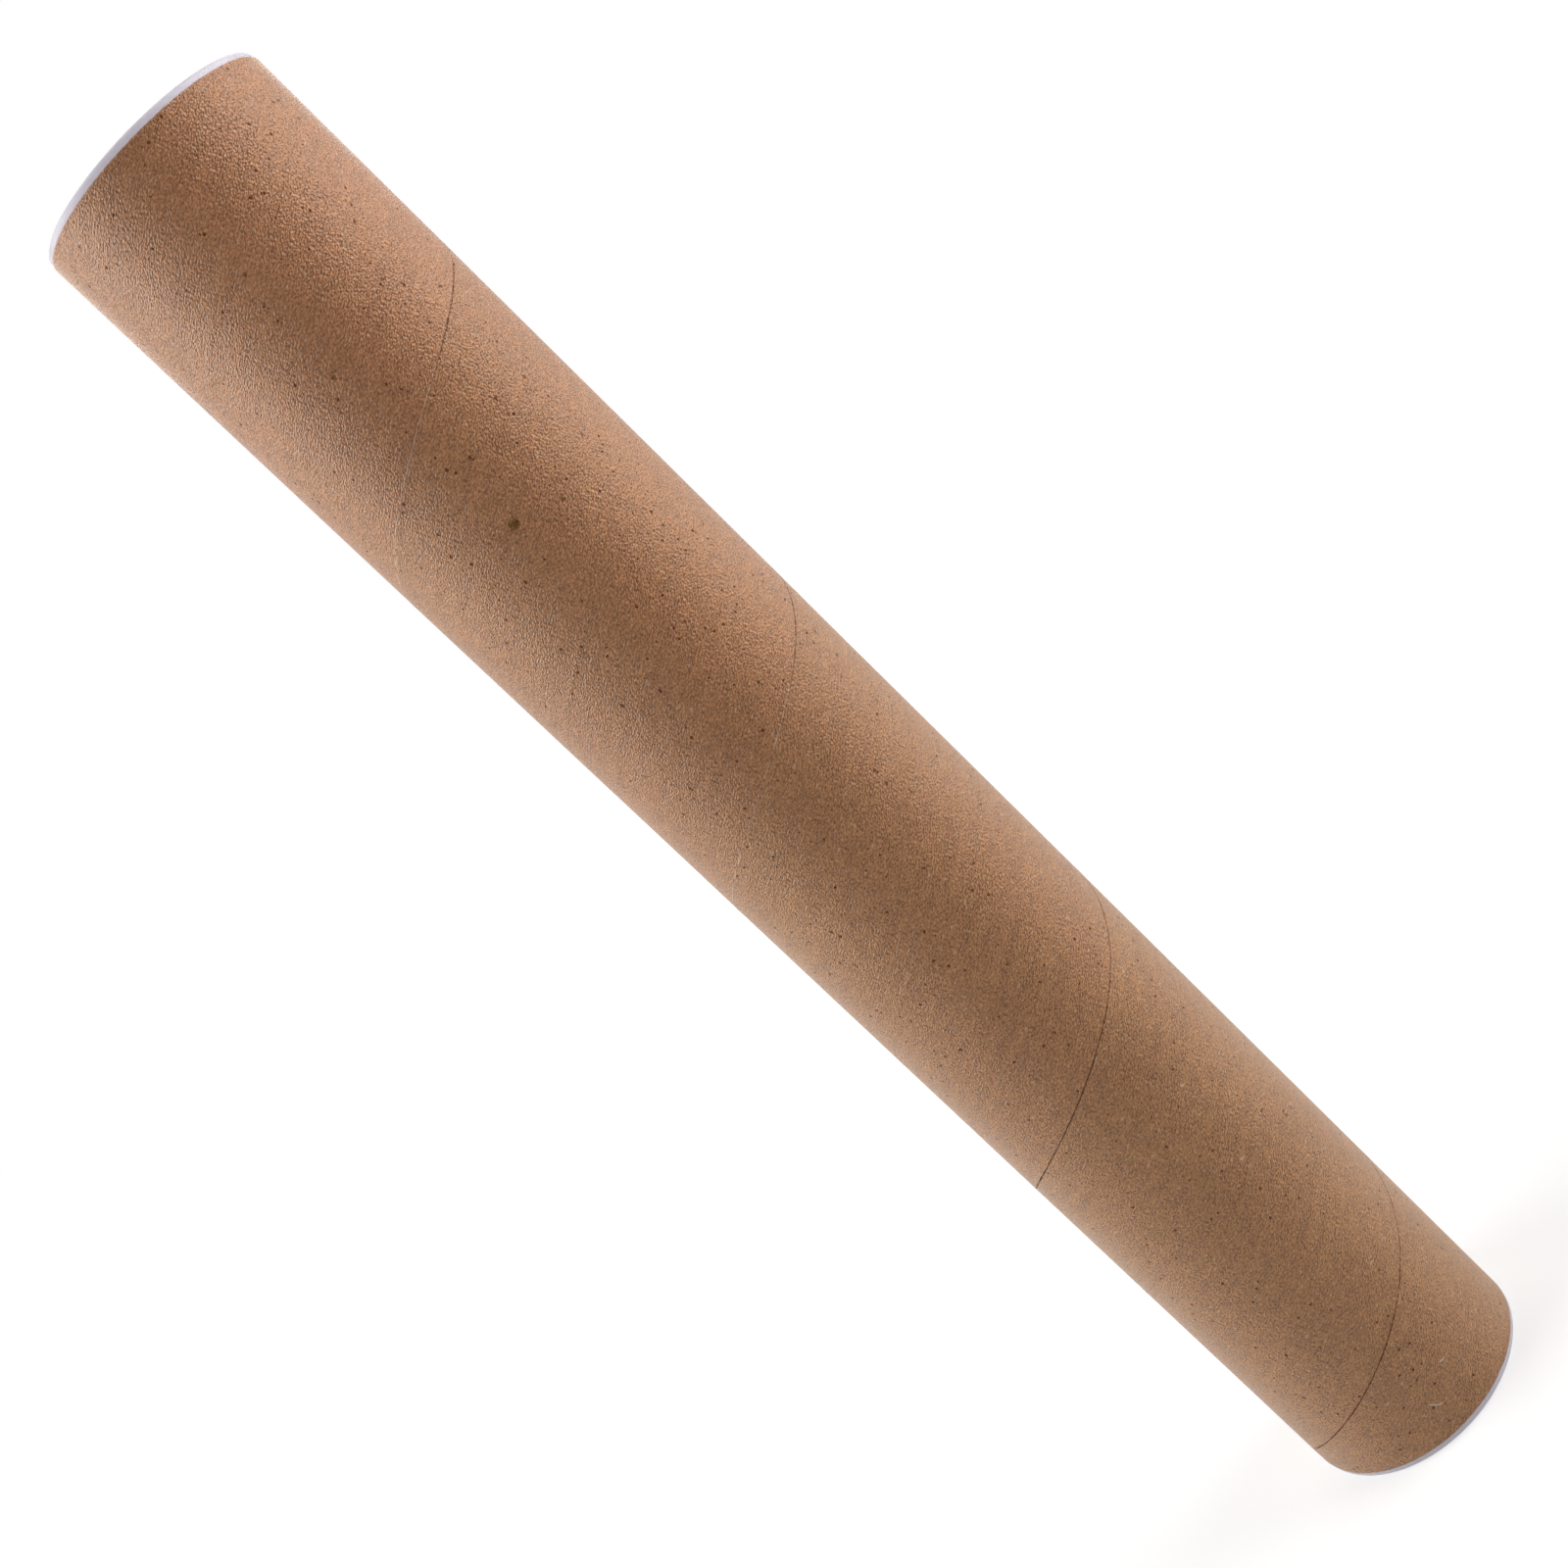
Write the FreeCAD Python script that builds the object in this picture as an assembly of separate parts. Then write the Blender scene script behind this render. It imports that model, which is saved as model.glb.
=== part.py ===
import FreeCAD, Part

import math
import os

# A spiral-wound cardboard mailing tube, closed at each end by a moulded plastic plug.
# It stands on its bottom plug. The origin is the centre of that plug's underside, and +Z runs up the tube.
# Lengths are in millimetres and angles in degrees.

# Board tube
tube_length = 355.6
bore_diameter = 50.8
board_wall = 1.6

# Outer ply, wound up the tube as a right-handed helix whose edges almost meet in a butt seam
ply_width = 78.0
ply_thickness = 0.35
seam_gap = 0.4
seam_start_angle = 167.0  # where the seam leaves the board's lower edge, counted from +X towards +Y

# Flange of an end plug, which lies on the board's cut edge just inside the tube's outside
flange_thickness = 1.5
flange_setback = 0.3
flange_edge_radius = 0.8

# Cup of an end plug, which goes down into the bore
plug_depth = 14.0
plug_relief = 0.35  # gap between the bore and the cup's wall, at the flange
plug_draft = 1.5
plug_wall = 1.2
floor_thickness = 1.3
cup_corner_radius = 2.4
mouth_radius = 0.5

# Beads round the cup, which bear on the bore
bead_clearance = 0.05
bead_width = 1.8
first_bead_depth = 3.0
bead_spacing = 4.5
bead_count = 2

# Pip that the moulding gate leaves in the middle of the cup's floor
gate_diameter = 2.0
gate_height = 0.4

# Flat bands that stand for a quarter turn of a rounded edge
large_edge_band_count = 2
small_edge_band_count = 1

# Worked out from the sizes above
bore_radius = bore_diameter / 2
tube_radius = bore_radius + board_wall
flange_radius = tube_radius - flange_setback
board_bottom = flange_thickness
board_top = board_bottom + tube_length
draft_slope = math.tan(math.radians(plug_draft))


def unit(vector):
    return vector / vector.Length


def rounded(before, corner, after, radius, bands):
    """A corner rounded to a radius, as the points between which its flat bands run."""
    towards_before = unit(before - corner)
    towards_after = unit(after - corner)
    half_angle = towards_before.getAngle(towards_after) / 2
    centre = corner + unit(towards_before + towards_after) * (radius / math.sin(half_angle))
    first = corner + towards_before * (radius / math.tan(half_angle)) - centre
    last = corner + towards_after * (radius / math.tan(half_angle)) - centre
    turn = first.getAngle(last)
    points = []
    for step in range(bands + 1):
        done = step / bands
        spoke = first * math.sin((1 - done) * turn) + last * math.sin(done * turn)
        points.append(centre + spoke / math.sin(turn))
    return points


def outline(corners):
    """A closed wire in the XZ plane. A corner is (radius from the axis, height), then its rounding if any."""
    places = [FreeCAD.Vector(corner[0], 0, corner[1]) for corner in corners]
    points = []
    for index, corner in enumerate(corners):
        if len(corner) == 2:
            points.append(places[index])
            continue
        following = places[(index + 1) % len(places)]
        points.extend(rounded(places[index - 1], places[index], following, corner[2], corner[3]))
    return Part.makePolygon([*points, points[0]])


def turned(profile):
    """The solid that a profile sweeps in one full turn about the Z axis."""
    axis_point = FreeCAD.Vector(0, 0, 0)
    return Part.Face(profile).revolve(axis_point, FreeCAD.Vector(0, 0, 1), 360)


def seam_pitch():
    """Axial advance of the seam in one turn, from a ply of this width wound edge to edge."""
    circumference = 2 * math.pi * tube_radius
    return ply_width / math.sqrt(1 - (ply_width / circumference) ** 2)


def seam_groove():
    """The gap between the outer ply's edges, as one solid a turn. It runs out past both ends of the board."""
    pitch = seam_pitch()
    circumference = 2 * math.pi * tube_radius
    axial_gap = seam_gap * math.hypot(pitch, circumference) / circumference
    floor = tube_radius - ply_thickness
    outside = tube_radius + ply_thickness
    section = Part.makePolygon([
        FreeCAD.Vector(floor, 0, -axial_gap / 2),
        FreeCAD.Vector(outside, 0, -axial_gap / 2),
        FreeCAD.Vector(outside, 0, axial_gap / 2),
        FreeCAD.Vector(floor, 0, axial_gap / 2),
        FreeCAD.Vector(floor, 0, -axial_gap / 2),
    ])
    run_out = pitch / 8
    helix = Part.makeHelix(pitch, pitch, tube_radius)
    first_turn = Part.Wire(helix.Edges).makePipeShell([section], True, True)
    start_angle = seam_start_angle - 360 * run_out / pitch
    first_turn.rotate(FreeCAD.Vector(0, 0, 0), FreeCAD.Vector(0, 0, 1), start_angle)
    turns = []
    for index in range(math.ceil((tube_length + 2 * run_out) / pitch)):
        turn = first_turn.copy()
        turn.translate(FreeCAD.Vector(0, 0, board_bottom - run_out + index * pitch))
        turns.append(turn)
    return turns


def board_tube():
    base = FreeCAD.Vector(0, 0, board_bottom)
    outside = Part.makeCylinder(tube_radius, tube_length, base)
    bore = Part.makeCylinder(bore_radius, tube_length, base)
    return outside.cut(bore).cut(seam_groove())


def cup_radius(depth):
    """Radius of the cup's outer wall at a depth below the flange. The wall draws in with depth."""
    return bore_radius - plug_relief - depth * draft_slope


def bead_corners():
    """The beads, from the deepest up to the flange."""
    crest = bore_radius - bead_clearance
    corners = []
    for index in reversed(range(bead_count)):
        depth = first_bead_depth + index * bead_spacing
        lower = depth + bead_width / 2
        upper = depth - bead_width / 2
        corners.append((cup_radius(lower), -lower))
        corners.append((crest, -depth))
        corners.append((cup_radius(upper), -upper))
    return corners


def end_plug():
    """An end plug with its flange's seat at height 0, its cup below and its mouth facing up."""
    rim_radius = min(flange_edge_radius, 0.9 * flange_thickness)
    inner_corner_radius = max(cup_corner_radius - plug_wall, 0.2)
    recess_floor = floor_thickness - plug_depth
    gate_radius = gate_diameter / 2
    gate_top = recess_floor + gate_height
    outside = [
        (0, -plug_depth),
        (cup_radius(plug_depth), -plug_depth, cup_corner_radius, large_edge_band_count),
        *bead_corners(),
        (cup_radius(0), 0),
        (flange_radius, 0),
        (flange_radius, flange_thickness, rim_radius, large_edge_band_count),
    ]
    inside = [
        (cup_radius(0) - plug_wall, flange_thickness, mouth_radius, small_edge_band_count),
        (cup_radius(-recess_floor) - plug_wall, recess_floor, inner_corner_radius, small_edge_band_count),
        (gate_radius, recess_floor),
        (gate_radius, gate_top),
        (0, gate_top),
    ]
    return turned(outline(outside + inside))


def top_plug():
    plug = end_plug()
    plug.translate(FreeCAD.Vector(0, 0, board_top))
    return plug


def bottom_plug():
    plug = end_plug()
    plug.rotate(FreeCAD.Vector(0, 0, 0), FreeCAD.Vector(1, 0, 0), 180)
    plug.translate(FreeCAD.Vector(0, 0, board_bottom))
    return plug


pieces = {
    "tube": board_tube(),
    "top_cap": top_plug(),
    "bottom_cap": bottom_plug(),
}

os.makedirs("parts", exist_ok=True)
for name, shape in pieces.items():
    shape.exportStep(f"parts/{name}.step")
    print(name, len(shape.Solids), shape.isValid(), round(shape.Volume, 1))
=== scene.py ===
import math

import bpy
import numpy as np
from mathutils import Matrix, Vector


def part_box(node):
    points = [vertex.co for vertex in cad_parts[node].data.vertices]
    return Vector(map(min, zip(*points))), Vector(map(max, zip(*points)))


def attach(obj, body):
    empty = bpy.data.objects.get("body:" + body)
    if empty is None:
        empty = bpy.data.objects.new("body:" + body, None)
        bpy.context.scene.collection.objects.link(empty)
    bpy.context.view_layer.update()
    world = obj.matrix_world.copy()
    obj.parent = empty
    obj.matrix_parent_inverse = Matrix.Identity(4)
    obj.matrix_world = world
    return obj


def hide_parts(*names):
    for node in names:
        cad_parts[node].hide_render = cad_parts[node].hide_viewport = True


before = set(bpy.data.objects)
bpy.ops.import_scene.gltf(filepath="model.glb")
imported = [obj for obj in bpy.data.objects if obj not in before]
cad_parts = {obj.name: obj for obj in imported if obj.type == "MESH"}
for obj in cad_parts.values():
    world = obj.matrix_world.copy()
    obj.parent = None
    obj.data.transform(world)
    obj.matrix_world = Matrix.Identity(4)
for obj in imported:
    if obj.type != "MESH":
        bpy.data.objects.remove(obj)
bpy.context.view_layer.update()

# A spiral-wound cardboard mailing tube with a white plastic plug in each end.
# Lengths are in millimetres and angles in degrees, unless a name or a comment says otherwise.
MM = 0.001
FULL_TURN = 2 * math.pi

# Sizes read from the frame
tube_low, tube_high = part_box("tube")
cap_low, cap_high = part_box("top_cap")
board_bottom = tube_low.z / MM
board_top = tube_high.z / MM
overall_height = cap_high.z / MM
flange_thickness = overall_height - board_top
box_radius = min(tube_high.x, tube_high.y, -tube_low.x, -tube_low.y) / MM
flange_box_radius = min(cap_high.x, cap_high.y, -cap_low.x, -cap_low.y) / MM

# Board
skin_clearance = 0.07  # room between the outer ply and the frame's box, for the raised ply edges
skin_radius = box_radius - skin_clearance
board_radius = 27.0
bore_radius = 25.4
ply_width = 78.0
ply_count = 4
seam_start_angle = 167.0
bore_seam_start_angle = 25.0
seam_pitch = ply_width / math.sqrt(1 - (ply_width / (FULL_TURN * board_radius)) ** 2)
bow_size = 0.012
bow_inset = 0.02

# Outer seam
half_gap_middle = 0.11
half_gap_waves = 0.03
half_gap_serration = 0.016
half_gap_limits = (0.04, 0.19)
seam_depth = 0.32
lip_height = 0.022
lip_waves = 0.018
lip_limits = (-0.02, 0.06)
lip_reach = 0.6
wall_run = 0.02  # least breadth over which the skin drops into the gap

# Heights between which the outer seam is pressed shut, and what changes there
closed_stretches = [(176.0, 213.0), (258.0, 299.0)]
closing_length = 12.0
fraying_length = 14.0
shut_gap_loss = 0.6
shut_depth_loss = 0.85
shut_upper_lip = -0.02
shut_lower_lip = 0.035

# Seams that hardly show
under_seam_share = 0.51  # where the next ply's seam lies under the outer ply, as a share of its width
crease_depth = 0.06  # along the bore's own seam
crease_half_width = 0.25

# Marks on the outer ply: angle, height, size and whether the mark is light
marks = [
    (-94.4, 265.8, 1.5, False),
    (-73.9, 262.5, 0.75, False),
    (-101.6, 305.8, 0.6, False),
    (-96.8, 328.5, 0.6, False),
    (-60.7, 311.8, 0.5, False),
    (-46.4, 282.8, 0.6, False),
    (-46.4, 268.3, 0.5, False),
    (-41.6, 73.0, 0.65, False),
    (-69.2, 97.3, 0.5, True),
    (-141.9, 81.5, 0.5, True),
    (-74.1, 77.6, 0.6, True),
]

# Stray fibres on the outer ply: angle, height, length, direction from the winding, bend and whether
# the fibre is light
stray_fibres = [
    (-92.7, 9.2, 3.2, 110, 0.12, True),
    (-76.7, 14.9, 1.6, 150, 0.30, True),
    (-96.0, 75.6, 2.6, 35, 0.25, False),
]

# Cut edge of the board. A ring is its distance inward from the edge that it follows, and its dip.
nick_middle = 0.045
nick_waves = 0.03
nick_limit = 0.2
edge_clearance = 0.01
outer_edge_rings = [(0.0, 0.20), (0.02, 0.09), (0.07, 0.02), (0.16, 0.0)]
glue_line_rings = [(-0.05, 0.01), (0.0, 0.05), (0.05, 0.015)]
bore_edge_rings = [(-0.14, 0.0), (-0.03, 0.06), (0.0, 0.2)]

# Mesh of the board
columns = 360  # round the tube
trim = 0.4  # height at each end that belongs to the rounded cut edge
outer_row_spacing = 3.2
bore_row_spacing = 6.5
rows_beside_outer_seam = [0.09, 0.14, 0.19, 0.32, 0.6, 1.2, 2.4]
rows_beside_bore_seam = [0.12, 0.25, 1.2]
SKIN, CUT = 0, 1  # the board's two materials

# Plug
plug_depth = 14.0
plug_relief = 0.35
plug_draft = 1.5
plug_wall = 1.2
floor_thickness = 1.3
cup_corner_radius = 2.4
flange_edge_radius = 0.8
flange_seat_radius = 0.12
flange_clearance = 0.01
mouth_radius = 0.5
bead_clearance = 0.05
bead_width = 1.8
bead_foot_radius = 0.25
bead_crest_radius = 0.45
first_bead_depth = 3.0
bead_spacing = 4.5
bead_count = 2
gate_diameter = 2.0
gate_height = 0.4
gate_taper = 0.9
small_radius = 0.15
plug_segments = 160
edge_steps = 6

# Colours
dark_paper = (0.243, 0.0845, 0.0275, 1)
light_paper = (0.735, 0.337, 0.148, 1)
bottom_tint = (0.96, 1.005, 0.95, 1)
top_tint = (1.045, 0.99, 1.0, 1)
dark_speck = (0.14, 0.040, 0.010, 1)
light_fleck = (0.84, 0.55, 0.34, 1)
smudge = (0.15, 0.085, 0.018, 1)
light_mark = (0.85, 0.60, 0.42, 1)
dark_stray = (0.13, 0.06, 0.02, 1)
light_stray = (0.90, 0.74, 0.60, 1)
# Painted shade: a dark colour laid into the open outer seam, where shade falls in the groove
painted_seam_shade = (0.14, 0.07, 0.045, 1)
# Partly the pale fibres of a pressed-shut seam's frayed edge, partly a painted highlight where its raised lip
# catches the light
frayed_paper_and_highlight = (0.86, 0.60, 0.42, 1)
cut_fibre = (0.36, 0.235, 0.155, 1)
glue_line = (0.17, 0.10, 0.065, 1)
plastic_dull = (0.85, 0.82, 0.87, 1)
plastic_bright = (0.88, 0.85, 0.90, 1)
plastic_inside = (0.92, 0.89, 0.94, 1)
floor_grey = (0.55, 0.55, 0.55, 1)
white = (1, 1, 1, 1)

# Fine relief of the materials, in metres, and the share of light that passes through the plastic
paper_relief_m = 0.00028
cut_relief_m = 0.00012
plastic_relief_m = 0.00001
turning_mark_pitch_m = 0.00045
plastic_translucence = 0.4

# Camera, fitted to the outline and the seams in the photograph
camera_place = (0.0, -383.2, 266.2)
camera_azimuth = 0.333
camera_tilt = -10.962
camera_roll = -46.156
camera_lens = 44.66
camera_sensor_width = 36.0
camera_clip_start_m = 0.01

# Room. What the camera sees of the floor near the object, before the lamps light it, is floor_glow, and
# farther off it is 1. Reflections see the room front_dimness bright at the photographer's side.
ambient_light = 0.03
front_dimness = 0.35
floor_glow = 0.56
glow_begins_m = 0.3
glow_ends_m = 1.6
floor_half_width_m = 6.0

# Soft boxes: direction from the tube's middle (0 towards the camera, 90 towards +X), then height above it,
# distance, width and height in metres, and radiance
soft_boxes = {
    "right_box": (80, 0.42, 0.80, 0.85, 0.80, 3.65),
    "left_box": (-96, 0.54, 0.80, 0.90, 0.90, 3.65),
    "back_box": (180, 0.75, 1.2, 1.3, 0.8, 2.2),
}

dice = np.random.default_rng(1977)


# Irregular curves


def ripple(shortest, longest, count=14):
    """A smooth random curve of about unit size, made of waves between two lengths."""
    lengths = np.exp(dice.uniform(math.log(shortest), math.log(longest), count))
    phases = dice.uniform(0, FULL_TURN, count)

    def curve(place):
        waves = np.sin(FULL_TURN * np.asarray(place)[..., None] / lengths + phases)
        return waves.sum(-1) / math.sqrt(count / 2)

    return curve


def ring_ripple(lowest, highest):
    """A smooth random curve of about unit size round a full turn, with whole numbers of waves."""
    counts = np.arange(lowest, highest + 1)
    sizes = dice.normal(0, 1, len(counts)) / np.sqrt(len(counts) / 2)
    phases = dice.uniform(0, FULL_TURN, len(counts))

    def curve(angle):
        return (sizes * np.sin(np.asarray(angle)[..., None] * counts + phases)).sum(-1)

    return curve


seam_width_curve = ripple(4, 60)
seam_serration = ripple(1.3, 3.5, 20)
seam_depth_curve = ripple(8, 90)
lip_above = ripple(2.5, 40)
lip_below = ripple(2.5, 40)
bow = ring_ripple(2, 4)
cut_edge_wave = ring_ripple(2, 14)
cut_edge_nicks = ring_ripple(15, 110)


# Objects


def new_object(name, data):
    thing = bpy.data.objects.new(name, data)
    bpy.context.scene.collection.objects.link(thing)
    return thing


def new_mesh_object(name, points, faces, materials):
    """An object from points in millimetres."""
    mesh = bpy.data.meshes.new(name)
    mesh.from_pydata((points * MM).tolist(), [], faces)
    for material in materials:
        mesh.materials.append(material)
    return new_object(name, mesh)


def shade_smooth(mesh, sharp_angle):
    mesh.polygons.foreach_set("use_smooth", [True] * len(mesh.polygons))
    mesh.set_sharp_from_angle(angle=math.radians(sharp_angle))


# Board


class Winding:
    """A ply wound at a radius, and the places of a point in the paper's own flat coordinates."""

    def __init__(self, radius, start_angle):
        self.radius = radius
        self.start = math.radians(start_angle)
        self.slope = math.atan(seam_pitch / (FULL_TURN * radius))
        self.width = seam_pitch * math.cos(self.slope)

    def seam_height(self, angle):
        return board_bottom + seam_pitch * (angle - self.start) / FULL_TURN

    def turn_at(self, angle, height):
        """Which turn of the ply a point lies on, as a number whose whole part counts the turns."""
        return (height - self.seam_height(angle)) / seam_pitch

    def across(self, angle, height):
        return (height - self.seam_height(angle)) * math.cos(self.slope)

    def along(self, angle, height):
        return self.radius * angle / math.cos(self.slope) + self.across(angle, height) * math.tan(self.slope)

    def place_at(self, height):
        """How far along the winding its seam reaches a height."""
        angle = self.start + FULL_TURN * (height - board_bottom) / seam_pitch
        return self.radius * angle / math.cos(self.slope)

    def paper_place(self, angle, height):
        """Where a point of the surface lies in the paper, along and across it."""
        seam_angle = angle + FULL_TURN * math.floor(self.turn_at(angle, height))
        return self.along(seam_angle, height), self.across(seam_angle, height)


outer = Winding(skin_radius, seam_start_angle)
inner = Winding(bore_radius, bore_seam_start_angle)


def shut_share(place):
    """How far the outer seam is pressed shut: 1 inside the closed stretches, 0 away from them."""
    share = np.zeros_like(place)
    for low, high in closed_stretches:
        inside = np.minimum(place - outer.place_at(low), outer.place_at(high) - place)
        share = np.maximum(share, np.clip(inside / closing_length, 0, 1))
    return share


def seam_half_gap(place):
    change = half_gap_waves * seam_width_curve(place) + half_gap_serration * seam_serration(place)
    return np.clip(half_gap_middle + change, *half_gap_limits) * (1 - shut_gap_loss * shut_share(place))


def seam_relief(place, distance):
    """Height over the skin near the seam. place runs along the seam, and distance across it."""
    shut = shut_share(place)
    half_gap = seam_half_gap(place)
    depth = seam_depth * np.clip(0.85 + 0.2 * seam_depth_curve(place), 0.5, 1) * (1 - shut_depth_loss * shut)
    lip_curve = np.where(distance > 0, lip_above(place), lip_below(place))
    proud = np.where(distance > 0, shut_upper_lip, shut_lower_lip) * shut
    lip = np.clip(lip_height + lip_waves * lip_curve + proud, *lip_limits)
    away = np.abs(distance)
    raised = lip * np.exp(-np.maximum(away - half_gap, 0) / lip_reach)
    inside = np.clip((half_gap + wall_run - away) / (0.25 * half_gap + wall_run), 0, 1)
    return raised * (1 - inside) - depth * inside


def skin_height(winding, angle, height):
    """Radius of the outer ply at a point, with the seam, its lifted edges and the slight bow of the tube."""
    seam_angle = angle + FULL_TURN * np.round(winding.turn_at(angle, height))
    distance = winding.across(seam_angle, height)
    place = winding.along(seam_angle, height)
    return winding.radius - bow_inset + bow_size * bow(angle) + seam_relief(place, distance)


def bore_height(winding, angle, height):
    """Radius of the innermost ply at a point. Its seam is only a faint crease."""
    seam_angle = angle + FULL_TURN * np.round(winding.turn_at(angle, height))
    distance = np.abs(winding.across(seam_angle, height))
    return winding.radius + crease_depth * np.clip(1 - distance / crease_half_width, 0, 1)


def row_places(width, spacing, fine):
    """Places of the rows across a ply, close together beside the seam."""
    middle = np.linspace(fine[-1] + spacing, width - fine[-1] - spacing, max(2, round(width / spacing)))
    return np.concatenate([[0.0], fine, middle, width - np.array(fine[::-1]), [width]])


class MeshParts:
    """Faces gathered from several stretches of a surface, each corner with its place in the paper."""

    def __init__(self):
        self.points = []
        self.count = 0
        self.faces = []
        self.corners = []
        self.materials = []

    def add_points(self, radius, angle, height):
        spread = np.broadcast_arrays(radius, angle, height)
        radius, angle, height = (np.ravel(part) for part in spread)
        self.points.append(np.column_stack([radius * np.cos(angle), radius * np.sin(angle), height]))
        first = self.count
        self.count += len(radius)
        return np.arange(first, self.count).reshape(spread[0].shape)

    def add_quads(self, ids, places, material, flipped):
        """ids is (n, 4), and places (n, 4, 3). A quad with two corners in one point becomes a triangle."""
        if flipped:
            ids, places = ids[:, ::-1], places[:, ::-1]
        for four, place in zip(ids.tolist(), places.tolist()):
            kept = [i for i in range(4) if four[i] != four[i - 1]]
            if len(kept) < 3 or len({four[i] for i in kept}) < len(kept):
                continue
            self.faces.append([four[i] for i in kept])
            self.corners.extend(place[i] for i in kept)
            self.materials.append(material)

    def object(self, name, materials, attribute):
        thing = new_mesh_object(name, np.concatenate(self.points), self.faces, materials)
        thing.data.polygons.foreach_set("material_index", self.materials)
        layer = thing.data.attributes.new(attribute, "FLOAT_VECTOR", "CORNER")
        layer.data.foreach_set("vector", np.asarray(self.corners, np.float32).ravel())
        shade_smooth(thing.data, 40)
        return thing


def wound_skin(parts, winding, radius_at, rows, rings, levels, outward):
    """One ply's visible face, as rows that follow the winding, cut off at two levels where it meets rings."""
    step = FULL_TURN / columns
    first = math.floor((winding.start - FULL_TURN) / step) - 2
    last = math.ceil((winding.start + FULL_TURN * (board_top - board_bottom) / seam_pitch) / step) + 2
    numbers = np.arange(first, last + columns + 1)
    angles = (numbers * step)[:, None]
    heights = winding.seam_height(angles) + (np.asarray(rows) / math.cos(winding.slope))[None, :]
    below, above = heights <= levels[0], heights >= levels[1]
    clipped = np.clip(heights, *levels)
    spread = np.broadcast_to(angles, clipped.shape)
    radius = radius_at(winding, spread[:, :-1], clipped[:, :-1])
    ids = parts.add_points(radius, spread[:, :-1], clipped[:, :-1])
    ids = np.concatenate([ids, np.zeros((len(numbers), 1), int)], axis=1)
    ids[:-columns, -1] = ids[columns:, 0]
    for ring, cut_off in zip(rings, (below, above)):
        ids = np.where(cut_off, ring[numbers % columns][:, None], ids)
    across = winding.across(spread, clipped)
    distance = np.where(across > winding.width / 2, across - winding.width, across)
    place = np.stack([winding.along(spread, clipped), across, distance], axis=-1)
    here, after = slice(0, last - first), slice(1, last - first + 1)

    def corners(values):
        return values[here, :-1], values[after, :-1], values[after, 1:], values[here, 1:]

    shown = ~np.all(corners(below | above), axis=0).reshape(-1)
    quads = np.stack(corners(ids), axis=-1).reshape(-1, 4)
    places = np.stack(corners(place), axis=2).reshape(-1, 4, 3)
    parts.add_quads(quads[shown], places[shown], SKIN, not outward)


def band_corners(ring, next_ring):
    """A value at the four corners of each quad between two rings."""
    return np.stack([ring, np.roll(ring, -1), np.roll(next_ring, -1), next_ring], axis=-1)


def paper_places(winding, angles, heights):
    """Paper coordinates of a band's corners, with the turn of the ply taken at each face's middle."""
    turn = np.round(winding.turn_at(angles.mean(1), heights.mean(1)))[:, None]
    seam_angles = angles + FULL_TURN * turn
    across = winding.across(seam_angles, heights)
    return np.stack([winding.along(seam_angles, heights), across, across], axis=-1)


def cut_end(parts, outer_ring, bore_ring, angles, end, direction):
    """The board's cut edge at one end, from the outer skin's last ring round to the bore's."""
    change = nick_waves * cut_edge_wave(angles * direction) + nick_waves * cut_edge_nicks(angles)
    face = end - direction * (edge_clearance + np.clip(nick_middle + change, 0, nick_limit))
    start = np.full(columns, end - direction * trim)
    outside = skin_height(outer, angles, face)
    rings = [(outer_ring, skin_height(outer, angles, start), start, SKIN)]

    def add_ring(radius, dip, material):
        height = face - direction * dip
        rings.append((parts.add_points(radius, angles, height), radius, height, material))

    for inset, dip in outer_edge_rings:
        add_ring(outside - inset, dip, SKIN)
    for ply in range(1, ply_count):
        line = bore_radius + (outside - bore_radius) * (1 - ply / ply_count)
        for inset, dip in glue_line_rings:
            add_ring(line - inset, dip, CUT)
    for inset, dip in bore_edge_rings:
        add_ring(np.full(columns, bore_radius - inset), dip, CUT)
    rings.append((bore_ring, np.full(columns, bore_radius), start, CUT))

    following = angles + FULL_TURN / columns
    four_angles = np.stack([angles, following, following, angles], axis=1)
    for (old_ring, old_radius, old_height, _), (ring, radius, height, material) in zip(rings, rings[1:]):
        four_heights = band_corners(old_height, height)
        if material == SKIN:
            places = paper_places(outer, four_angles, four_heights)
        else:
            four_radii = band_corners(old_radius, radius)
            places = np.stack([four_angles * bore_radius, four_radii, four_heights], axis=-1)
        parts.add_quads(band_corners(old_ring, ring), places, material, direction < 0)


def board_tube(materials):
    parts = MeshParts()
    angles = np.arange(columns) * FULL_TURN / columns
    levels = board_bottom + trim, board_top - trim

    def end_ring(winding, radius_at, level):
        heights = np.full(columns, level)
        return parts.add_points(radius_at(winding, angles, heights), angles, heights)

    outer_rings = [end_ring(outer, skin_height, level) for level in levels]
    bore_rings = [end_ring(inner, bore_height, level) for level in levels]
    outer_rows = row_places(outer.width, outer_row_spacing, rows_beside_outer_seam)
    bore_rows = row_places(inner.width, bore_row_spacing, rows_beside_bore_seam)
    wound_skin(parts, outer, skin_height, outer_rows, outer_rings, levels, True)
    wound_skin(parts, inner, bore_height, bore_rows, bore_rings, levels, False)
    cut_end(parts, outer_rings[1], bore_rings[1], angles, board_top, 1)
    cut_end(parts, outer_rings[0], bore_rings[0], angles, board_bottom, -1)
    return parts.object("board_tube", materials, "strip")


# Plugs


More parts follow.
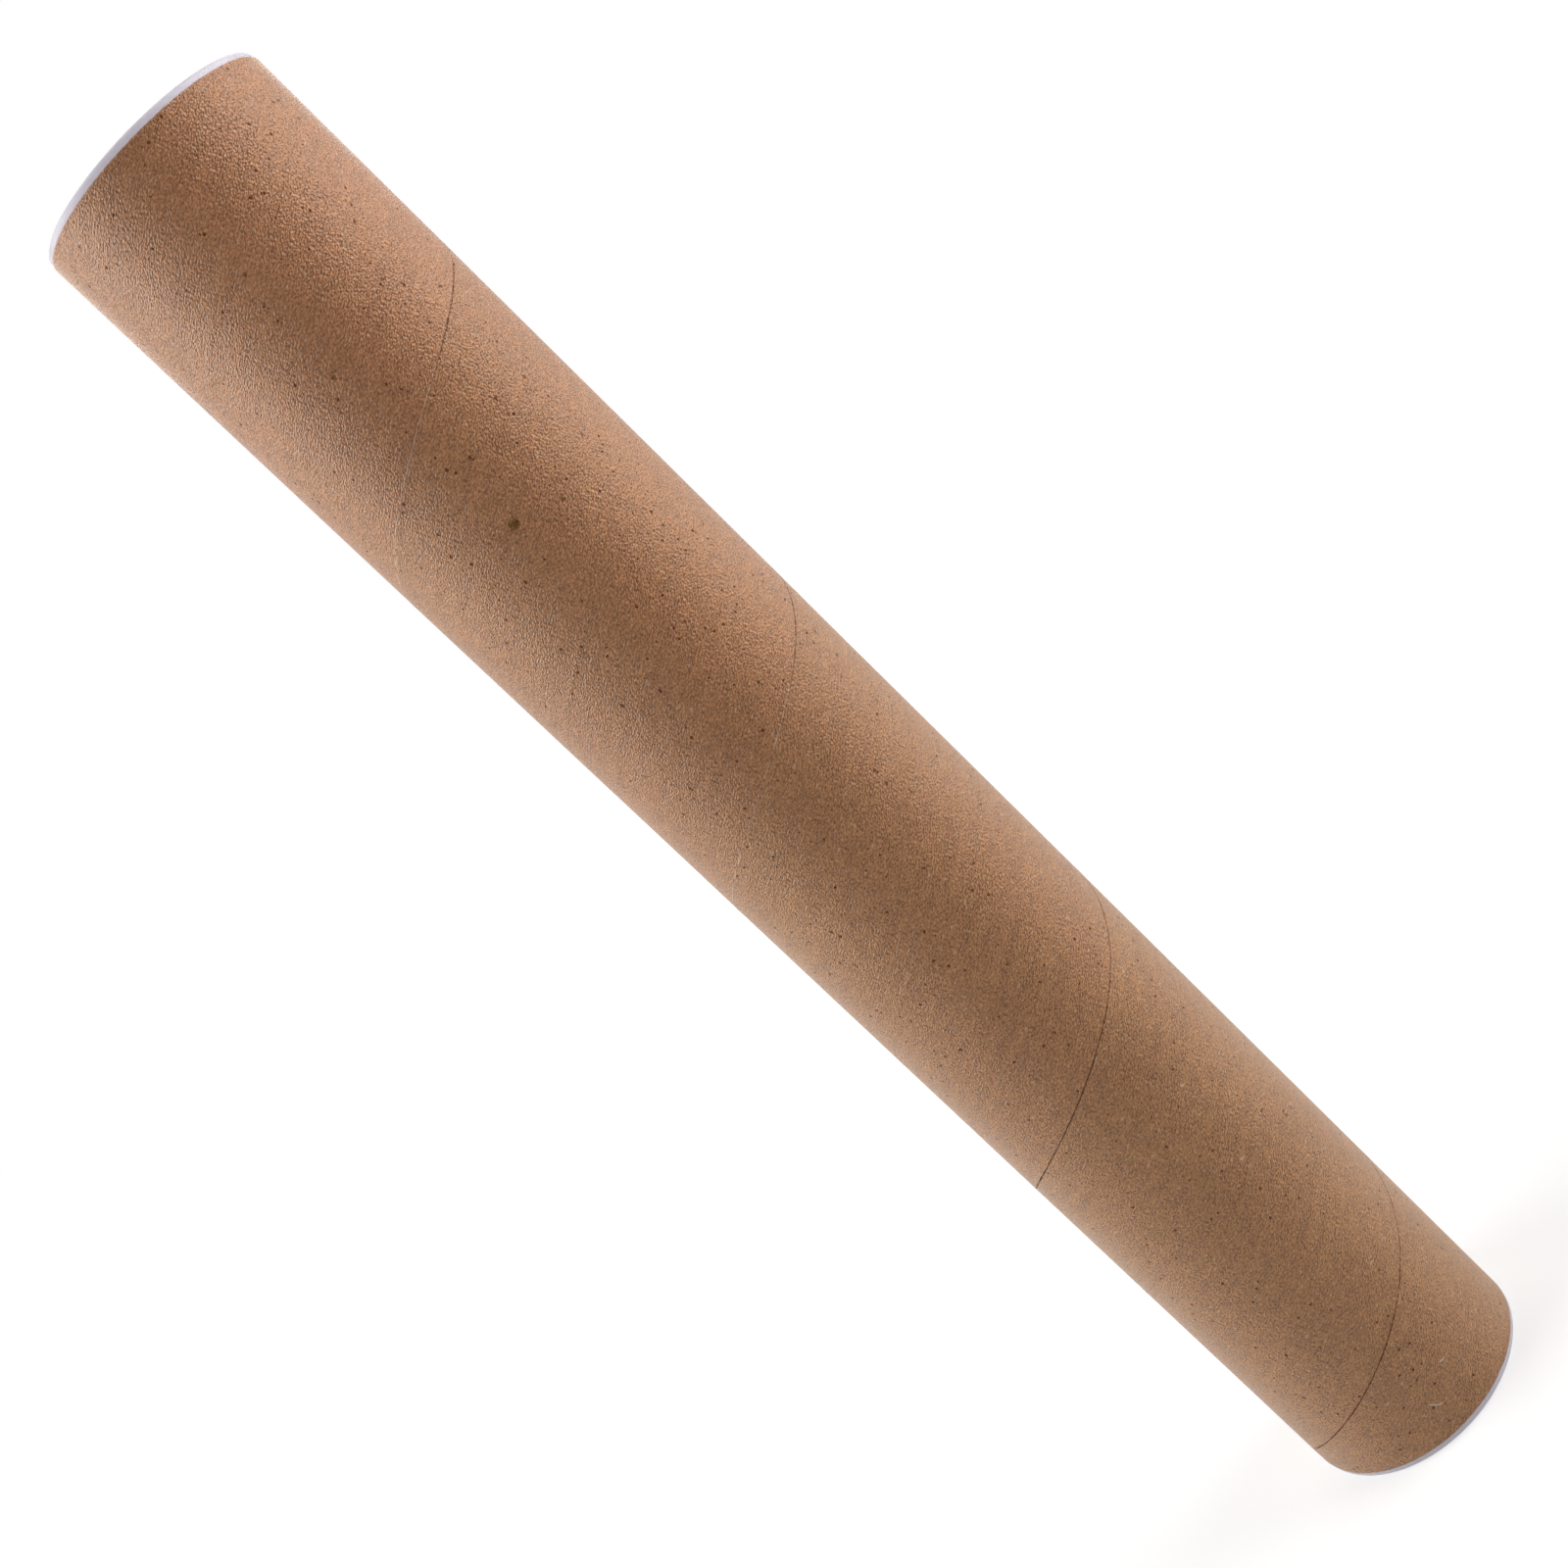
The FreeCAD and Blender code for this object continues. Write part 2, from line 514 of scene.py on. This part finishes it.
def rounded(before, corner, after, radius, steps):
    """Points along a corner rounded to a radius, in two dimensions."""
    before, corner, after = (np.array(point, float) for point in (before, corner, after))
    first = (before - corner) / np.linalg.norm(before - corner)
    second = (after - corner) / np.linalg.norm(after - corner)
    half_angle = math.acos(float(np.clip(first @ second, -1, 1))) / 2
    middle = (first + second) / np.linalg.norm(first + second)
    centre = corner + middle * radius / math.sin(half_angle)
    start = corner + first * radius / math.tan(half_angle) - centre
    end = corner + second * radius / math.tan(half_angle) - centre
    turn = math.acos(float(np.clip(start @ end / radius ** 2, -1, 1)))
    shares = np.linspace(0, 1, steps + 1)[:, None]
    return centre + (start * np.sin((1 - shares) * turn) + end * np.sin(shares * turn)) / math.sin(turn)


def outline(corners):
    """Points of a profile. A corner is (radius, height) or (radius, height, rounding)."""
    points = []
    for index, corner in enumerate(corners):
        if len(corner) == 2:
            points.append(np.array([corner]))
            continue
        before = corners[index - 1][:2]
        after = corners[(index + 1) % len(corners)][:2]
        points.append(rounded(before, corner[:2], after, corner[2], edge_steps))
    return np.concatenate(points)


def cup_radius(depth):
    return bore_radius - plug_relief - depth * math.tan(math.radians(plug_draft))


def plug_profile():
    """Half section of a plug, from the middle of the cup's underside round its outside to the gate pip."""
    crest = bore_radius - bead_clearance
    beads = []
    for index in reversed(range(bead_count)):
        depth = first_bead_depth + index * bead_spacing
        lower = depth + bead_width / 2
        upper = depth - bead_width / 2
        beads.append((cup_radius(lower), -lower, bead_foot_radius))
        beads.append((crest, -depth, bead_crest_radius))
        beads.append((cup_radius(upper), -upper, bead_foot_radius))
    recess_floor = floor_thickness - plug_depth
    gate_radius = gate_diameter / 2
    flange_radius = flange_box_radius - flange_clearance
    return outline([
        (0, -plug_depth),
        (cup_radius(plug_depth), -plug_depth, cup_corner_radius),
        *beads,
        (cup_radius(0), 0, small_radius),
        (flange_radius, 0, flange_seat_radius),
        (flange_radius, flange_thickness, flange_edge_radius),
        (cup_radius(0) - plug_wall, flange_thickness, mouth_radius),
        (cup_radius(-recess_floor) - plug_wall, recess_floor, cup_corner_radius - plug_wall),
        (gate_radius, recess_floor, small_radius),
        (gate_radius * gate_taper, recess_floor + gate_height, small_radius),
        (0, recess_floor + gate_height),
    ])


def turned(name, profile, material):
    """A solid of revolution about the Z axis from a profile that starts and ends on the axis."""
    angles = np.arange(plug_segments) * FULL_TURN / plug_segments
    middle = profile[1:-1]
    ring_points = np.stack([
        middle[:, 0, None] * np.cos(angles),
        middle[:, 0, None] * np.sin(angles),
        np.broadcast_to(middle[:, 1, None], (len(middle), plug_segments)),
    ], axis=-1).reshape(-1, 3)
    ends = np.array([[0, 0, profile[0, 1]], [0, 0, profile[-1, 1]]])
    rings = np.arange(len(middle) * plug_segments).reshape(len(middle), plug_segments)
    bottom, top = len(ring_points), len(ring_points) + 1
    faces = []
    for ring, next_ring in zip(rings[:-1], rings[1:]):
        faces.extend(band_corners(ring, next_ring).tolist())
    faces.extend([bottom, after, here] for here, after in zip(rings[0], np.roll(rings[0], -1)))
    faces.extend([here, after, top] for here, after in zip(rings[-1], np.roll(rings[-1], -1)))
    thing = new_mesh_object(name, np.concatenate([ring_points, ends]), faces, [material])
    shade_smooth(thing.data, 35)
    return thing


def end_plug(name, material, top):
    plug = turned(name, plug_profile(), material)
    if top:
        place = Matrix.Translation((0, 0, board_top * MM))
    else:
        place = Matrix.Translation((0, 0, board_bottom * MM)) @ Matrix.Rotation(math.pi, 4, "X")
    plug.data.transform(place)
    return plug


# Materials


class Nodes:
    """The nodes of a material or of the world, with short ways to add to them."""

    def __init__(self, owner, shader="Principled BSDF"):
        owner.use_nodes = True
        self.owner = owner
        self.tree = owner.node_tree
        self.shader = self.tree.nodes[shader]

    def feed(self, socket, value):
        if isinstance(value, bpy.types.NodeSocket):
            self.tree.links.new(value, socket)
        else:
            socket.default_value = value

    def shade(self, values):
        """Set or link inputs of the shader."""
        for name, value in values.items():
            self.feed(self.shader.inputs[name], value)

    def node(self, kind, settings=None, **inputs):
        node = self.tree.nodes.new(kind)
        for key, value in (settings or {}).items():
            setattr(node, key, value)
        for key, value in inputs.items():
            self.feed(node.inputs[key], value)
        return node

    def apply(self, operation, *values):
        """A Math node's result."""
        node = self.node("ShaderNodeMath", {"operation": operation})
        for socket, value in zip(node.inputs, values):
            self.feed(socket, value)
        return node.outputs[0]

    def vector(self, operation, *values):
        """A Vector Math node."""
        node = self.node("ShaderNodeVectorMath", {"operation": operation})
        for socket, value in zip(node.inputs, values):
            self.feed(socket, value)
        return node

    def dot(self, first, second):
        return self.vector("DOT_PRODUCT", first, second).outputs["Value"]

    def sum(self, start, layers):
        """start plus each layer times its amount."""
        total = start
        for layer, amount in layers:
            total = self.apply("MULTIPLY_ADD", layer, amount, total)
        return total

    def centred(self, value):
        """Noise between 0 and 1, moved to lie about 0."""
        return self.apply("SUBTRACT", value, 0.5)

    def greatest(self, values):
        total = values[0]
        for value in values[1:]:
            total = self.apply("MAXIMUM", total, value)
        return total

    def ramp(self, value, low, high, to_low=0.0, to_high=1.0, interpolation="SMOOTHSTEP"):
        """value between low and high, spread over to_low and to_high."""
        node = self.node("ShaderNodeMapRange", {"interpolation_type": interpolation})
        for socket, number in zip(node.inputs, (value, low, high, to_low, to_high)):
            self.feed(socket, number)
        return node.outputs[0]

    def noise(self, vector, scale=1.0, detail=2.0, roughness=0.5):
        node = self.node("ShaderNodeTexNoise", Vector=vector, Scale=scale, Detail=detail, Roughness=roughness)
        return node.outputs[0]

    def stretched(self, vector, scales, shift=(0, 0, 0)):
        return self.node("ShaderNodeMapping", Vector=vector, Scale=scales, Location=shift).outputs[0]

    def mix(self, factor, first, second, blend="MIX"):
        node = self.node("ShaderNodeMix", {"data_type": "RGBA", "blend_type": blend})
        for index, value in ((0, factor), (6, first), (7, second)):
            self.feed(node.inputs[index], value)
        return node.outputs[2]

    def painted(self, colour, coats):
        """colour under coats of other colours, each a mask, its strength and its colour."""
        for mask, strength, paint in coats:
            colour = self.mix(self.apply("MULTIPLY", mask, strength), colour, paint)
        return colour

    def bump(self, height, distance_m):
        node = self.node("ShaderNodeBump", Height=height, Distance=distance_m, Strength=1.0)
        self.shade({"Normal": node.outputs[0]})


def specks(nodes, flat, spacing, size, share, wobble):
    """A mask of scattered dots: one cell in each spacing, a share of them with a dot of about that size."""
    bent = nodes.node("ShaderNodeTexNoise", Vector=flat, Scale=2.2, Detail=1.0).outputs[1]
    moved = nodes.vector("MULTIPLY_ADD", bent, (wobble, wobble, 0), flat).outputs[0]
    cells = nodes.node("ShaderNodeTexVoronoi", {"feature": "F1"}, Vector=moved, Scale=1 / spacing)
    chance = nodes.node("ShaderNodeSeparateColor", Color=cells.outputs["Color"]).outputs[0]
    reach = nodes.apply("MULTIPLY", nodes.ramp(chance, 1 - share, 1.0), size / spacing)
    near = nodes.apply("SUBTRACT", reach, cells.outputs["Distance"])
    return nodes.ramp(near, 0.0, 0.25 * size / spacing)


def surface_place(angle, height):
    """A point of the outer ply in the paper's flat coordinates."""
    return (*outer.paper_place(math.radians(angle), height), 0)


def mark_mask(nodes, flat, light):
    """The listed light or dark marks as one mask with ragged edges."""
    ragged = nodes.centred(nodes.noise(nodes.stretched(flat, (1.7, 1.7, 1), (3, 9, 0))))
    spots = []
    for angle, height, size, is_light in marks:
        if is_light == light:
            away = nodes.vector("DISTANCE", flat, surface_place(angle, height)).outputs["Value"]
            reach = nodes.apply("MULTIPLY_ADD", ragged, 1.6 * size, away)
            spots.append(nodes.ramp(reach, 0.35 * size, size, 1.0, 0.0))
    return nodes.greatest(spots)


def fibre_mask(nodes, flat, light):
    """The listed light or dark stray fibres as one mask, each a thin arc in the paper's plane."""
    fibres = []
    for angle, height, length, direction, bend, is_light in stray_fibres:
        if is_light == light:
            turn = math.radians(direction)
            from_middle = nodes.vector("SUBTRACT", flat, surface_place(angle, height)).outputs[0]
            lengthwise = nodes.dot(from_middle, (math.cos(turn), math.sin(turn), 0))
            sideways = nodes.dot(from_middle, (-math.sin(turn), math.cos(turn), 0))
            arc = nodes.apply("MULTIPLY_ADD", nodes.apply("POWER", lengthwise, 2.0), bend, sideways)
            thread = nodes.ramp(nodes.apply("ABSOLUTE", arc), 0.08, 0.22, 1.0, 0.0)
            reach = nodes.apply("ABSOLUTE", lengthwise)
            span = nodes.ramp(reach, 0.4 * length, 0.5 * length, 1.0, 0.0)
            fibres.append(nodes.apply("MULTIPLY", thread, span))
    return nodes.greatest(fibres)


def shut_mask(nodes, along):
    """Where the outer seam is pressed shut."""
    stretches = []
    for low, high in closed_stretches:
        start, end = outer.place_at(low), outer.place_at(high)
        begun = nodes.ramp(along, start, start + fraying_length)
        ended = nodes.ramp(along, end - fraying_length, end)
        stretches.append(nodes.apply("SUBTRACT", begun, ended))
    return nodes.greatest(stretches)


def under_seam_ridge(nodes, flat, across):
    """The faint ridge over the next ply's seam, which comes and goes along the winding."""
    away = nodes.apply("ABSOLUTE", nodes.apply("SUBTRACT", across, outer.width * under_seam_share))
    strength = nodes.noise(nodes.stretched(flat, (1 / 45, 0, 1), (19, 0, 0)), detail=1.0)
    return nodes.apply("MULTIPLY", nodes.ramp(away, 0.1, 1.0, 1.0, 0.0), nodes.ramp(strength, 0.3, 0.6))


def kraft_paper():
    """Brown kraft paper: clouded, full of short fibres along the winding, with dark and light flecks."""
    nodes = Nodes(bpy.data.materials.new("kraft_paper"))
    strip = nodes.node("ShaderNodeAttribute", {"attribute_name": "strip"}).outputs["Vector"]
    along, across, from_seam = nodes.node("ShaderNodeSeparateXYZ", Vector=strip).outputs
    flat = nodes.node("ShaderNodeCombineXYZ", X=along, Y=across).outputs[0]

    cloudy = nodes.noise(flat, 1 / 24)
    streaks = nodes.noise(nodes.stretched(flat, (0.025, 0.55, 1), (2, 17, 0)), roughness=0.6)
    floccy = nodes.noise(nodes.stretched(flat, (0.30, 0.42, 1)), roughness=0.55)
    fibres = nodes.noise(nodes.stretched(flat, (1.1, 2.2, 1)), detail=1.0, roughness=0.6)
    shreds = nodes.noise(nodes.stretched(flat, (1.9, 3.4, 1), (7, 3, 0)), detail=0.0)
    layers = ((cloudy, 0.25), (streaks, 0.28), (floccy, 0.7), (fibres, 1.2), (shreds, 1.5))
    tone = nodes.sum(0.5, [(nodes.centred(layer), amount) for layer, amount in layers])
    tone = nodes.apply("MAXIMUM", nodes.apply("MINIMUM", tone, 1.0), 0.0)
    height_share = nodes.ramp(along, outer.place_at(board_bottom), outer.place_at(board_top))
    tint = nodes.mix(height_share, bottom_tint, top_tint)
    colour = nodes.mix(1.0, nodes.mix(tone, dark_paper, light_paper), tint, "MULTIPLY")

    dark_specks = specks(nodes, flat, 1.7, 0.38, 0.5, 0.25)
    light_flecks = specks(nodes, nodes.stretched(flat, (0.42, 1.0, 1), (11, 2, 0)), 1.1, 0.23, 0.9, 0.45)
    dark_marks = mark_mask(nodes, flat, False)
    light_strays = fibre_mask(nodes, flat, True)
    distance = nodes.apply("ABSOLUTE", from_seam)
    shut = shut_mask(nodes, along)
    in_seam = nodes.ramp(distance, 0.08, 0.24, 1.0, 0.0)
    # Painted shade: the open seam's groove is darkened in the colour, as shade in the gap
    shaded_open_seam = nodes.apply("MULTIPLY", in_seam, nodes.apply("SUBTRACT", 1.0, shut))
    # Pale dashes beside a pressed-shut seam: partly its frayed pale fibres, partly a painted highlight on the
    # raised lip
    dashes = nodes.ramp(nodes.noise(nodes.stretched(flat, (0.45, 2.0, 1), (5, 1, 0))), 0.42, 0.58)
    beside_seam = nodes.ramp(distance, 0.12, 0.38, 1.0, 0.0)
    frayed_edge_and_highlight = nodes.apply("MULTIPLY", beside_seam, nodes.apply("MULTIPLY", shut, dashes))
    colour = nodes.painted(colour, [
        (dark_specks, 0.85, dark_speck),
        (light_flecks, 0.6, light_fleck),
        (dark_marks, 0.65, smudge),
        (mark_mask(nodes, flat, True), 0.7, light_mark),
        (fibre_mask(nodes, flat, False), 0.7, dark_stray),
        (light_strays, 0.85, light_stray),
        (shaded_open_seam, 0.3, painted_seam_shade),
        (frayed_edge_and_highlight, 0.75, frayed_paper_and_highlight),
    ])

    hollow = nodes.greatest([dark_specks, dark_marks])
    nodes.shade({
        "Base Color": colour,
        "Roughness": nodes.ramp(floccy, 0.3, 0.7, 0.33, 0.41),
        "Specular IOR Level": nodes.ramp(hollow, 0.0, 1.0, 0.6, 0.12),
        "Specular Tint": (1.0, 0.93, 0.80, 1),
        "Sheen Weight": nodes.ramp(hollow, 0.0, 1.0, 0.35, 0.0),
        "Sheen Roughness": 0.5,
        "Sheen Tint": (1.0, 0.92, 0.76, 1),
    })
    ridge = under_seam_ridge(nodes, flat, across)
    height = nodes.sum(shreds, [
        (fibres, 0.45), (light_strays, 0.5), (streaks, 0.5), (floccy, 0.15),
        (ridge, 0.35), (light_flecks, 0.25), (dark_specks, -0.15),
    ])
    nodes.bump(height, paper_relief_m)
    return nodes.owner


def cut_board():
    """The board's cut edge: pressed plies of grey-brown fibre with darker glue lines between them."""
    nodes = Nodes(bpy.data.materials.new("cut_board"))
    strip = nodes.node("ShaderNodeAttribute", {"attribute_name": "strip"}).outputs["Vector"]
    radius = nodes.node("ShaderNodeSeparateXYZ", Vector=strip).outputs[1]
    wander = nodes.noise(nodes.stretched(strip, (0.25, 0.2, 0.2)))
    depth = nodes.sum(nodes.apply("SUBTRACT", radius, bore_radius), [(nodes.centred(wander), 0.12)])
    turns = nodes.apply("MULTIPLY", depth, ply_count * FULL_TURN / (skin_radius - bore_radius))
    line = nodes.ramp(nodes.apply("COSINE", turns), 0.55, 1.0)
    fibres = nodes.noise(nodes.stretched(strip, (1.4, 7.0, 7.0)), detail=3.0, roughness=0.65)
    patches = nodes.noise(strip, 0.35)
    tone = nodes.sum(1.0, [(nodes.centred(fibres), 0.9), (nodes.centred(patches), 0.35)])
    grey = nodes.node("ShaderNodeCombineColor", Red=tone, Green=tone, Blue=tone).outputs[0]
    colour = nodes.mix(1.0, cut_fibre, grey, "MULTIPLY")
    nodes.shade({
        "Base Color": nodes.painted(colour, [(line, 0.45, glue_line)]),
        "Roughness": 0.85,
        "Specular IOR Level": 0.3,
    })
    nodes.bump(fibres, cut_relief_m)
    return nodes.owner


def white_plastic():
    """Soft white polyethylene that lets some light through, with slight clouding and fine turning marks."""
    nodes = Nodes(bpy.data.materials.new("white_plastic"))
    place = nodes.node("ShaderNodeTexCoord").outputs["Object"]
    cloud = nodes.noise(place, 90.0, 3.0)
    grain = nodes.noise(place, 1800.0, 2.0, 0.6)
    nodes.shade({
        "Base Color": nodes.mix(nodes.ramp(cloud, 0.3, 0.7), plastic_dull, plastic_bright),
        "Roughness": nodes.ramp(cloud, 0.3, 0.7, 0.34, 0.46),
        "Specular IOR Level": 0.5,
        "Sheen Weight": 0.6,
        "Sheen Roughness": 0.5,
        "Sheen Tint": (1, 0.97, 1, 1),
    })
    flat_place = nodes.vector("MULTIPLY", place, (1, 1, 0)).outputs[0]
    radius = nodes.vector("LENGTH", flat_place).outputs["Value"]
    turning_marks = nodes.apply("SINE", nodes.apply("MULTIPLY", radius, FULL_TURN / turning_mark_pitch_m))
    nodes.bump(nodes.sum(grain, [(turning_marks, 0.12)]), plastic_relief_m)
    surface = nodes.tree.nodes["Material Output"].inputs["Surface"]
    through = nodes.node("ShaderNodeBsdfTranslucent", Color=plastic_inside)
    both = nodes.node("ShaderNodeMixShader")
    mixed = (plastic_translucence, nodes.shader.outputs[0], through.outputs[0])
    for socket, value in zip(both.inputs, mixed):
        nodes.feed(socket, value)
    nodes.feed(surface, both.outputs[0])
    return nodes.owner


def white_floor():
    """A pale floor that the camera sees as white, but for the object's soft shadow."""
    nodes = Nodes(bpy.data.materials.new("white_floor"))
    path = nodes.node("ShaderNodeLightPath").outputs
    seen = nodes.apply("MAXIMUM", path["Is Camera Ray"], path["Is Glossy Ray"])
    away = nodes.vector("LENGTH", nodes.node("ShaderNodeTexCoord").outputs["Object"]).outputs["Value"]
    glow = nodes.ramp(away, glow_begins_m, glow_ends_m, floor_glow, 1.0)
    strength = nodes.apply("MAXIMUM", nodes.apply("MULTIPLY", seen, glow), path["Is Transmission Ray"])
    nodes.shade({
        "Base Color": floor_grey,
        "Roughness": 0.9,
        "Specular IOR Level": 0.0,
        "Emission Color": white,
        "Emission Strength": strength,
    })
    return nodes.owner


# Stage


def make_floor():
    half = floor_half_width_m
    corners = [(-half, -half, 0), (half, -half, 0), (half, half, 0), (-half, half, 0)]
    mesh = bpy.data.meshes.new("floor")
    mesh.from_pydata(corners, [], [(0, 1, 2, 3)])
    mesh.materials.append(white_floor())
    floor = new_object("floor", mesh)


def make_world():
    """White to the camera. To reflections, white behind the object and dim at the photographer's side."""
    nodes = Nodes(bpy.data.worlds.new("studio"), "Background")
    bpy.context.scene.world = nodes.owner
    direction = nodes.node("ShaderNodeTexCoord").outputs["Generated"]
    backward = nodes.node("ShaderNodeSeparateXYZ", Vector=direction).outputs["Y"]
    room = nodes.ramp(backward, -0.9, 0.2, front_dimness, 1.0, "LINEAR")
    path = nodes.node("ShaderNodeLightPath").outputs
    mirrored = nodes.apply("MAXIMUM", path["Is Glossy Ray"], path["Is Transmission Ray"])
    seen = nodes.apply("MAXIMUM", path["Is Camera Ray"], nodes.apply("MULTIPLY", mirrored, room))
    nodes.shade({"Color": white, "Strength": nodes.apply("MAXIMUM", seen, ambient_light)})


def make_lights():
    middle = Vector((0, 0, overall_height / 2 * MM))
    for name, (azimuth, rise, distance, width, height, radiance) in soft_boxes.items():
        lamp = bpy.data.lights.new(name, "AREA")
        lamp.shape = "RECTANGLE"
        lamp.size = width
        lamp.size_y = height
        lamp.energy = radiance * math.pi * width * height
        holder = new_object(name, lamp)
        turn = math.radians(azimuth)
        place = middle + Vector((math.sin(turn) * distance, -math.cos(turn) * distance, rise))
        holder.location = place
        holder.rotation_euler = (middle - place).to_track_quat("-Z", "Y").to_euler()
        holder.visible_camera = False


def make_camera():
    lens = bpy.data.cameras.new("camera")
    lens.lens = camera_lens
    lens.sensor_width = camera_sensor_width
    lens.clip_start = camera_clip_start_m
    camera = new_object("camera", lens)
    turn = Matrix.Rotation(math.radians(camera_azimuth), 4, "Z")
    tilt = Matrix.Rotation(math.radians(90 + camera_tilt), 4, "X")
    roll = Matrix.Rotation(math.radians(camera_roll), 4, "Z")
    camera.matrix_world = Matrix.Translation(Vector(camera_place) * MM) @ turn @ tilt @ roll
    bpy.context.scene.camera = camera


# Assembly

paper = kraft_paper()
plastic = white_plastic()

tube = board_tube([paper, cut_board()])
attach(tube, "tube")
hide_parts("tube")

top_plug = end_plug("top_end_plug", plastic, True)
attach(top_plug, "top_plug")
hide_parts("top_cap")

bottom_plug = end_plug("bottom_end_plug", plastic, False)
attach(bottom_plug, "bottom_plug")
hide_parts("bottom_cap")

make_floor()
make_world()
make_lights()
make_camera()
bpy.context.scene.view_settings.view_transform = "Standard"
